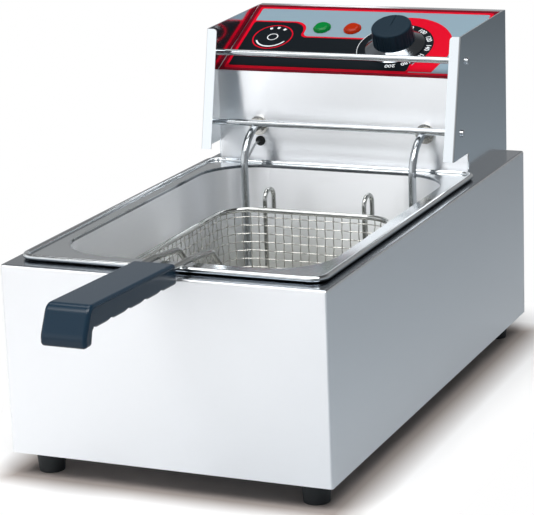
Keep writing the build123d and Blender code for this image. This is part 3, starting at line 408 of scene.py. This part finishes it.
# The wire's radius, and twice that as its step aside at a crossing
WIRE = 0.5 * MM
STEP = 2 * WIRE
# The solid wall's thickness, corner radius and lean
WALL, CORNER = 1.6 * MM, 30 * MM
LEAN = math.tan(math.radians(2))
# The bend from wall to floor, and how much of it the last point but one holds out
FLOOR_BEND, BEND_HOLD = 10.8 * MM, 0.3
# Upright wires along each side and round each corner, and rings down the wall
ALONG_X, ALONG_Y, ALONG_CORNER, RINGS = 13, 20, 6, 10
half_width = (mesh_high.x - mesh_low.x) / 2
half_length = (mesh_high.y - mesh_low.y) / 2
middle_y = (mesh_high.y + mesh_low.y) / 2
core_x, core_y = half_width - CORNER, half_length - CORNER
floor_z = mesh_low.z + WALL / 2
print("basket wall, mm:", [round(v / MM, 1) for v in (*mesh_low, *mesh_high)])


# %% Places on the wall
def wall_reach(z):
    """How far the wall's middle lies outside the corner centres at height z."""
    return CORNER - WALL / 2 - (mesh_high.z - z) * LEAN


def outline():
    """(centre, outward direction) of each upright wire, once round the basket."""
    places = []
    for quarter, (sx, sy) in enumerate(((1, -1), (1, 1), (-1, 1), (-1, -1))):
        turn = quarter * math.pi / 2
        for k in range(ALONG_CORNER):
            angle = turn - math.pi / 2 + k * math.pi / 2 / ALONG_CORNER
            places.append(((sx * core_x, sy * core_y), (math.cos(angle), math.sin(angle))))
        along, count = ((0, 1), ALONG_Y) if quarter % 2 == 0 else ((1, 0), ALONG_X)
        span = 2 * (core_y if quarter % 2 == 0 else core_x)
        way = (along[0] * -sx, along[1] * -sy)
        out = (math.cos(turn), math.sin(turn))
        for k in range(count):
            far = span * k / count
            places.append(((sx * core_x + way[0] * far, sy * core_y + way[1] * far), out))
    return places


def wall_point(place, z, step):
    """A point of the wall at height z on one upright wire's place, moved outward by step."""
    (x, y), (out_x, out_y) = place
    reach = wall_reach(z) + step
    return Vector((x + out_x * reach, middle_y + y + out_y * reach, z))


places = outline()
ring_pitch = (mesh_high.z - floor_z - FLOOR_BEND) / RINGS
ring_heights = [mesh_high.z - (0.5 + k) * ring_pitch for k in range(RINGS)]
print("upright wires:", len(places), "rings:", len(ring_heights))


# %% Weave the wall
def upright_route(i, place):
    """One upright wire: from the rim down past the rings, then inward along the floor's bend."""
    down = [wall_point(place, z, -STEP * (-1) ** (i + j)) for j, z in enumerate(ring_heights)]
    bend = wall_point(place, floor_z + FLOOR_BEND, 0)
    foot = bend - Vector((0, 0, FLOOR_BEND))
    inward = -FLOOR_BEND * Vector((*place[1], 0))
    return [wall_point(place, mesh_high.z, 0), *down, bend, foot + BEND_HOLD * inward, foot + inward]


ring_routes = [
    [wall_point(place, z, STEP * (-1) ** (i + j)) for i, place in enumerate(places)]
    for j, z in enumerate(ring_heights)
]
upright_routes = [upright_route(i, place) for i, place in enumerate(places)]
rings = wire_curve("basket_rings", ring_routes, WIRE, closed=True)
uprights = wire_curve("basket_uprights", upright_routes, WIRE)
piece("basket_rings", rings, wire_steel, "basket")
basket_uprights = piece("basket_uprights", uprights, wire_steel, "basket")
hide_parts("basket_mesh")
print("wall wires:", len(ring_routes) + len(upright_routes))

# %% [markdown]
# The floor of the basket is the same weave laid flat. The wall's wires could run on through it, but
# those of the corners would crowd there. So the floor has wires of its own, which run both ways and end
# on a rounded outline, where the upright wires have turned in.

# %% Weave the floor
floor_reach = wall_reach(floor_z) - FLOOR_BEND
FLOOR_STEP = STEP / 2


def floor_lines(core_along, core_across, count):
    """(cross place, half length) of the floor wires that run one way, inside the rounded outline."""
    pitch = 2 * core_across / count
    extra = int(floor_reach / pitch)
    lines = []
    for k in range(-extra, count + extra + 1):
        cross = k * pitch - core_across
        past = max(0.0, abs(cross) - core_across)
        lines.append((cross, core_along + math.sqrt(floor_reach**2 - past**2)))
    return lines


def floor_wire(half, pitch, first):
    """(place along the wire, height) at each crossing of one floor wire."""
    count = max(2, round(2 * half / pitch))
    heights = [floor_z + FLOOR_STEP * (-1) ** (first + k) for k in range(count + 1)]
    return [(2 * half * k / count - half, z) for k, z in enumerate(heights)]


pitch_x, pitch_y = 2 * core_x / ALONG_X, 2 * core_y / ALONG_Y
floor_routes = []
for i, (x, half) in enumerate(floor_lines(core_y, core_x, ALONG_X)):
    floor_routes.append([(x, middle_y + along, z) for along, z in floor_wire(half, pitch_y, i)])
for i, (y, half) in enumerate(floor_lines(core_x, core_y, ALONG_Y)):
    floor_routes.append([(along, middle_y + y, z) for along, z in floor_wire(half, pitch_x, i + 1)])
floor_weave = wire_curve("basket_floor", floor_routes, WIRE)
piece("basket_floor", floor_weave, wire_steel, "basket")
print("floor wires:", len(floor_routes))

# %% [markdown]
# The printed control panel
#
# The panel is a printed film on the sloping face. An image texture could carry it, but thin layers of
# ink keep every edge sharp. Layers that cross lie on different levels, so no two faces that show share
# a plane. Shapes are drawn in millimetres on the slope: x to the right and s up the slope from its
# lower edge. All layers stay open under the knob, where its shaft comes through.

# %% The slope
head_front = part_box("head_front_panel")[0].y
SLOPE_FOOT = 265.5 * MM
SLOPE_RUN, SLOPE_RISE = 101, 45.5
SLOPE = math.atan2(SLOPE_RISE, SLOPE_RUN)
OVERLAY, LAYER = 0.5, 0.05
KNOB, KNOB_OPENING = (39, 47), 22
foot = Matrix.Translation((0, head_front, SLOPE_FOOT))
on_slope = foot @ Matrix.Rotation(SLOPE, 4, "X") @ Matrix.Scale(MM, 4)
print("slope, degrees:", round(math.degrees(SLOPE), 1), "front at mm:", round(head_front / MM, 1))

# %% [markdown]
# Three kinds of shape make the whole print. A plate is a few corner points, rounded off by bevelling
# its corners, with a circle left open under the knob. A ring, or a part of one, is a short radial line
# spun round its centre. The flame beside the dial is such a part of a ring, whose last line is drawn
# down to the lower edge of the band.

# %% Flat shapes of ink
CORNER_STEPS, ROUND_STEPS = 8, 64


def plate(bm, points, radii):
    """A flat plate through corner points, each rounded off, with the knob's opening in it."""
    corners = [bm.verts.new((x, s, 0)) for x, s in points]
    for here, ahead in zip(corners, corners[1:] + corners[:1]):
        bm.edges.new((here, ahead))
    for corner, radius in zip(corners, radii):
        bmesh.ops.bevel(
            bm,
            geom=[corner],
            offset=radius,
            affect="VERTICES",
            segments=CORNER_STEPS,
            profile=0.5,
            material=-1,
        )
    middle = Matrix.Translation((*KNOB, 0))
    bmesh.ops.create_circle(bm, segments=ROUND_STEPS, radius=KNOB_OPENING, matrix=middle)
    bmesh.ops.triangle_fill(bm, edges=bm.edges, use_beauty=True)


def ring(bm, centre, inner, outer, start=0, turn=360):
    """A flat ring, or a part of one, made by spinning a short radial line; returns that line's end."""
    middle, angle = Vector((*centre, 0)), math.radians(start)
    out = Vector((math.cos(angle), math.sin(angle), 0))
    line = bm.edges.new([bm.verts.new(middle + out * radius) for radius in (inner, outer)])
    spun = bmesh.ops.spin(
        bm,
        geom=[*line.verts, line],
        cent=middle,
        axis=(0, 0, 1),
        angle=math.radians(turn),
        steps=ROUND_STEPS,
        use_merge=turn == 360,
    )
    return spun["geom_last"]


print("steps round a ring:", ROUND_STEPS)

# %% The flame
FLAME, FLAME_RADII, FLAME_START, FLAME_TURN = (41, 42), (30, 53), 100, -124
FLAME_FOOT, BAND_LOW = (61, 86), 8


def flame(bm):
    """The swept shape right of the dial: a part of a ring, drawn down to the band's lower edge."""
    last = ring(bm, FLAME, *FLAME_RADII, FLAME_START, FLAME_TURN)
    line = [g for g in last if isinstance(g, bmesh.types.BMEdge)]
    drawn = bmesh.ops.extrude_edge_only(bm, edges=line)["geom"]
    foot = sorted((g for g in drawn if isinstance(g, bmesh.types.BMVert)), key=lambda vert: vert.co.x)
    for vert, x in zip(foot, FLAME_FOOT):
        vert.co = (x, BAND_LOW, 0)


test = bmesh.new()
flame(test)
print("faces of the flame:", len(test.faces))
test.free()


# %% One layer of ink
def film(name, shapes, material):
    """One printed colour: shapes are (level, how to draw it, its values), laid on the slope."""
    print_mesh, layer = bmesh.new(), bpy.data.meshes.new(name)
    for level, draw, *values in shapes:
        bm = bmesh.new()
        draw(bm, *values)
        raised = bmesh.ops.extrude_face_region(bm, geom=bm.faces[:])["geom"]
        tops = [g for g in raised if isinstance(g, bmesh.types.BMVert)]
        bmesh.ops.translate(bm, verts=tops, vec=(0, 0, LAYER))
        bmesh.ops.translate(bm, verts=bm.verts, vec=(0, 0, OVERLAY + level * LAYER))
        bmesh.ops.recalc_face_normals(bm, faces=bm.faces)
        bmesh.ops.transform(bm, matrix=on_slope, verts=bm.verts)
        bm.to_mesh(layer)
        bm.free()
        print_mesh.from_mesh(layer)
    print_mesh.to_mesh(layer)
    print_mesh.free()
    print(name, "shapes:", len(shapes), "faces:", len(layer.polygons))
    piece(name, layer, material, "head")


# %% Layout of the print
DIAL = (-87, 56)


def block(x, low, high):
    """The corners and radii of a plate as wide as twice x."""
    return [(-x, low), (x, low), (x, high), (-x, high)], [2] * 4


def band(grow):
    """The corners and radii of the dark band with its shoulder round the left dial."""
    left, right, low, top = -114.5 - grow, 62 + grow, BAND_LOW - grow, 57 + grow
    neck, shoulder = -60 + grow, 81 + grow
    points = [(left, low), (right, low), (right, top), (neck, top), (neck, shoulder), (left, shoulder)]
    return points, [2, 2, 2, 6, 15, 3]


print("band, mm:", band(0)[0])

# %% Print the red, grey and black layers
RED_FIELD, GREY_FIELD = (117.5, 4, 106.5), (114.5, 7, 103.5)
RED_EDGE, RED_RING, BLACK_DIAL = 2, (18.6, 19.8), 36
reds = [
    (0, plate, *block(*RED_FIELD)),
    (2, plate, *band(RED_EDGE)),
    (4, flame),
    (4, ring, DIAL, *RED_RING),
]
film("print_red", reds, print_red)
film("print_grey", [(1, plate, *block(*GREY_FIELD))], print_grey)
film("print_black", [(3, plate, *band(0)), (5, ring, KNOB, KNOB_OPENING, BLACK_DIAL)], print_black)

# %% Print the white marks
DASH, DASH_TURN, DASH_ANGLES = (13.6, 16.6), 10, (58, 86, 114)
SWEEP, HUB, EDGE = (14.8, 16.4), (4.5, 5.4), (35.7, 36.2)
dashes = [(4, ring, DIAL, *DASH, angle - DASH_TURN / 2, DASH_TURN) for angle in DASH_ANGLES]
sweep = (4, ring, DIAL, *SWEEP, 205, 130)
hub = (4, ring, DIAL, *HUB)
edge = (6, ring, KNOB, *EDGE, 105, 112)
film("print_white", [*dashes, sweep, hub, edge], print_white)

# %% [markdown]
# The scale round the knob is printed numbers. They could stay text objects, but a piece keeps its place
# in its mesh, so each text is made a mesh first and then laid on the slope. Each stands with its foot
# towards the knob, so it is turned by its own angle round the dial. Text comes with its front, back and
# sides apart, so their points are merged.

# %% Numbers round the knob
NUMBER_RADIUS, NUMBER_SIZE, NUMBER_WEIGHT, NUMBER_LEVEL = 31.6, 6.6, 0.12, 6.5
FIRST_ANGLE, NUMBER_STEP = 108, -27
CURVE_STEPS, MERGE = 4, 0.001 * MM
numbers = bmesh.new()
for k, number in enumerate(range(60, 201, 20)):
    angle = math.radians(FIRST_ANGLE + k * NUMBER_STEP)
    text = bpy.data.curves.new("number", "FONT")
    text.body = str(number)
    text.size = NUMBER_SIZE
    text.offset = NUMBER_WEIGHT
    text.resolution_u = CURVE_STEPS
    text.align_x = text.align_y = "CENTER"
    text.extrude = LAYER / 2
    text_object = bpy.data.objects.new("number", text)
    flat = bpy.data.meshes.new_from_object(text_object)
    x, s = KNOB[0] + NUMBER_RADIUS * math.cos(angle), KNOB[1] + NUMBER_RADIUS * math.sin(angle)
    spot = Matrix.Translation((x, s, OVERLAY + NUMBER_LEVEL * LAYER))
    flat.transform(on_slope @ spot @ Matrix.Rotation(angle - math.pi / 2, 4, "Z"))
    numbers.from_mesh(flat)
    bpy.data.objects.remove(text_object)
    bpy.data.meshes.remove(flat)
bmesh.ops.remove_doubles(numbers, verts=numbers.verts, dist=MERGE)
bmesh.ops.recalc_face_normals(numbers, faces=numbers.faces)
number_mesh = bpy.data.meshes.new("dial_numbers")
numbers.to_mesh(number_mesh)
numbers.free()
piece("dial_numbers", number_mesh, print_white, "head")
print("number faces:", len(number_mesh.polygons))

# %% [markdown]
# The studio
#
# A white floor and three soft lights: a large one high at the front left, one at the front right that
# opens the tank's walls, and a weak one overhead. To the camera the floor fades into plain white with
# distance, and right next to the object its colour turns warm grey: a painted shadow that deepens the
# real one. Steel shows its surroundings more than its own colour, so the floor that it mirrors is painted
# from white on the left to blue grey on the right: painted shade, as in a studio with its lights on one
# side.

# %% Floor
FLOOR_SIZE = 6.0
floor_mesh = bpy.data.meshes.new("floor")
bm = bmesh.new()
bmesh.ops.create_grid(bm, x_segments=1, y_segments=1, size=FLOOR_SIZE)
bm.to_mesh(floor_mesh)
bm.free()
floor = bpy.data.objects.new("floor", floor_mesh)
bpy.context.scene.collection.objects.link(floor)
print("floor, m:", 2 * FLOOR_SIZE)

# %% The floor as steel mirrors it
# The blue grey towards the right is painted shade, seen in reflections and bounced light only
MIRROR_LEFT, MIRROR_RIGHT = -0.25, 0.3
LEFT_TONE, RIGHT_SHADE_TONE = linear("FBFCFD"), linear("A2ABB2")
floor_paint = bpy.data.materials.new("white floor")
floor_paint.use_nodes = True
tree = floor_paint.node_tree
tree.nodes.clear()
coords = add_node(tree, "ShaderNodeTexCoord")
across = add_node(tree, "ShaderNodeSeparateXYZ", {"Vector": (coords, "Object")})
side = {"Value": (across, "X"), "From Min": MIRROR_LEFT, "From Max": MIRROR_RIGHT}
share = add_node(tree, "ShaderNodeMapRange", side)
mix = {"Factor": (share, "Result"), "A": LEFT_TONE, "B": RIGHT_SHADE_TONE}
tones = add_node(tree, "ShaderNodeMix", mix, data_type="RGBA")
mirrored = add_node(tree, "ShaderNodeBsdfDiffuse", {"Color": (tones, "Result")})
print("mirrored floor, m from left to right:", MIRROR_LEFT, MIRROR_RIGHT)

# %% Distance from the casing
case_low, case_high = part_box("casing_shell")
case_middle, case_half = (case_low + case_high) / 2, (case_high - case_low) / 2
place = (coords, "Object")
steps = (("SUBTRACT", case_middle), ("ABSOLUTE", None), ("SUBTRACT", case_half), ("MAXIMUM", None))
for operation, other in steps:
    sides = {0: place} if other is None else {0: place, 1: (other.x, other.y, 0)}
    place = (add_node(tree, "ShaderNodeVectorMath", sides, operation=operation), "Vector")
reach = add_node(tree, "ShaderNodeVectorMath", {0: place}, operation="LENGTH")
print("casing on the floor, mm:", [round(2 * half / MM) for half in case_half.xy])

# %% The floor as the camera sees it
# Painted shadow: within a few centimetres of the casing the floor's colour darkens to a warm grey
PAINTED_SHADOW_TONE, WHITE, PAINTED_SHADOW_REACH = linear("A79E99"), linear("FFFFFF"), 0.03
FADE_START, FADE_END = 0.025, 0.09
away = add_node(tree, "ShaderNodeMapRange", {"Value": (reach, "Value"), "From Max": PAINTED_SHADOW_REACH})
mix = {"Factor": (away, "Result"), "A": PAINTED_SHADOW_TONE, "B": WHITE}
pale = add_node(tree, "ShaderNodeMix", mix, data_type="RGBA")
shaded = add_node(tree, "ShaderNodeBsdfDiffuse", {"Color": (pale, "Result")})
backdrop = add_node(tree, "ShaderNodeEmission", {"Color": WHITE, "Strength": 1.0})
fading = {"Value": (reach, "Value"), "From Min": FADE_START, "From Max": FADE_END}
fade = add_node(tree, "ShaderNodeMapRange", fading, interpolation_type="SMOOTHSTEP")
seen = add_node(tree, "ShaderNodeMixShader", {0: (fade, "Result"), 1: (shaded, 0), 2: (backdrop, 0)})
path = add_node(tree, "ShaderNodeLightPath")
rays = {0: (path, "Is Camera Ray"), 1: (mirrored, 0), 2: (seen, 0)}
mixed = add_node(tree, "ShaderNodeMixShader", rays)
add_node(tree, "ShaderNodeOutputMaterial", {"Surface": (mixed, 0)})
floor.data.materials.append(floor_paint)
print("floor paint nodes:", len(tree.nodes))

# %% [markdown]
# The room that metal mirrors is bright towards the front left and dim behind and overhead. The dim part
# draws the dark lines in bars and beads. A photographed room could be wrapped round the scene, but two
# ramps on the world's direction give the same soft change and keep the script free of pictures. Matt
# surfaces get a weak even fill, and the camera sees plain white.

# %% The room that steel mirrors
FRONT_LEFT = (-0.752, -0.652, 0.1)
BEHIND, AHEAD, DIM_ROOM, BRIGHT_ROOM = 0.3, 0.9, 0.45, 1.6
DIM_FROM, DIM_TO, DIM_TOP = 0.3, 0.7, 0.25
world = bpy.data.worlds.new("studio")
world.use_nodes = True
bpy.context.scene.world = world
tree = world.node_tree
tree.nodes.clear()
coords = add_node(tree, "ShaderNodeTexCoord")
facing = add_node(
    tree, "ShaderNodeVectorMath", {0: (coords, "Generated"), 1: FRONT_LEFT}, operation="DOT_PRODUCT"
)
ahead = {"Value": (facing, "Value"), "From Min": BEHIND, "From Max": AHEAD}
fade = add_node(tree, "ShaderNodeMapRange", {**ahead, "To Min": DIM_ROOM, "To Max": BRIGHT_ROOM})
height = add_node(tree, "ShaderNodeSeparateXYZ", {"Vector": (coords, "Generated")})
upward = {"Value": (height, "Z"), "From Min": DIM_FROM, "From Max": DIM_TO}
dim = add_node(tree, "ShaderNodeMapRange", {**upward, "To Min": 1.0, "To Max": DIM_TOP})
level = add_node(tree, "ShaderNodeMath", {0: (fade, "Result"), 1: (dim, "Result")}, operation="MULTIPLY")
room = add_node(tree, "ShaderNodeBackground", {"Color": linear("F6F7F8"), "Strength": (level, "Value")})
print("room nodes:", len(tree.nodes))

# %% Fill and backdrop
FILL = 0.14
path = add_node(tree, "ShaderNodeLightPath")
fill = add_node(tree, "ShaderNodeBackground", {"Color": linear("F2F4F6"), "Strength": FILL})
white = add_node(tree, "ShaderNodeBackground", {"Color": WHITE, "Strength": 1.0})
lit = add_node(tree, "ShaderNodeMixShader", {0: (path, "Is Glossy Ray"), 1: (fill, 0), 2: (room, 0)})
mixed = add_node(tree, "ShaderNodeMixShader", {0: (path, "Is Camera Ray"), 1: (lit, 0), 2: (white, 0)})
add_node(tree, "ShaderNodeOutputWorld", {"Surface": (mixed, 0)})
print("world nodes:", len(tree.nodes))


# %% Lights
LIGHT_AIM = Vector((0, 0, 0.1))


def soft_light(name, place, size, watts):
    """A square area light that looks at the object's middle."""
    light = bpy.data.lights.new(name, "AREA")
    light.size = size
    light.energy = watts
    lamp = bpy.data.objects.new(name, light)
    lamp.location = place
    lamp.rotation_euler = (LIGHT_AIM - Vector(place)).to_track_quat("-Z", "Y").to_euler()
    bpy.context.scene.collection.objects.link(lamp)
    print(name, "light, m from the object:", round(Vector(place).length, 2))


soft_light("key", (-0.45, -1.35, 2.3), 1.4, 38)
soft_light("side", (0.9, -0.9, 2.2), 1.2, 36)
soft_light("top", (-0.5, 0.5, 2.3), 1.2, 14)

# %% [markdown]
# The camera stands where the photograph was taken from, a little right of the front and above the rim.
# It could be aimed at the object by a constraint, but its place and three angles also keep the
# photograph's slight roll. The lens is worked out from the focal length in pixels and the picture's
# width.

# %% Camera
FOCAL_PX, FRAME_PX, SENSOR = 2248.8, 534, 36
CAMERA_PLACE, CAMERA_TURN = (0.75238, -1.67357, 0.63788), (75.0141, 2.1308, 23.4234)
SHIFT_X, SHIFT_Y = 0.011, -0.001
camera_data = bpy.data.cameras.new("camera")
camera_data.sensor_width = SENSOR
camera_data.lens = FOCAL_PX / FRAME_PX * SENSOR
camera_data.shift_x = SHIFT_X
camera_data.shift_y = SHIFT_Y
camera = bpy.data.objects.new("camera", camera_data)
camera.location = CAMERA_PLACE
camera.rotation_euler = [math.radians(angle) for angle in CAMERA_TURN]
bpy.context.scene.collection.objects.link(camera)
bpy.context.scene.camera = camera
bpy.context.scene.view_settings.view_transform = "Standard"
print("lens, mm:", round(camera_data.lens, 1))
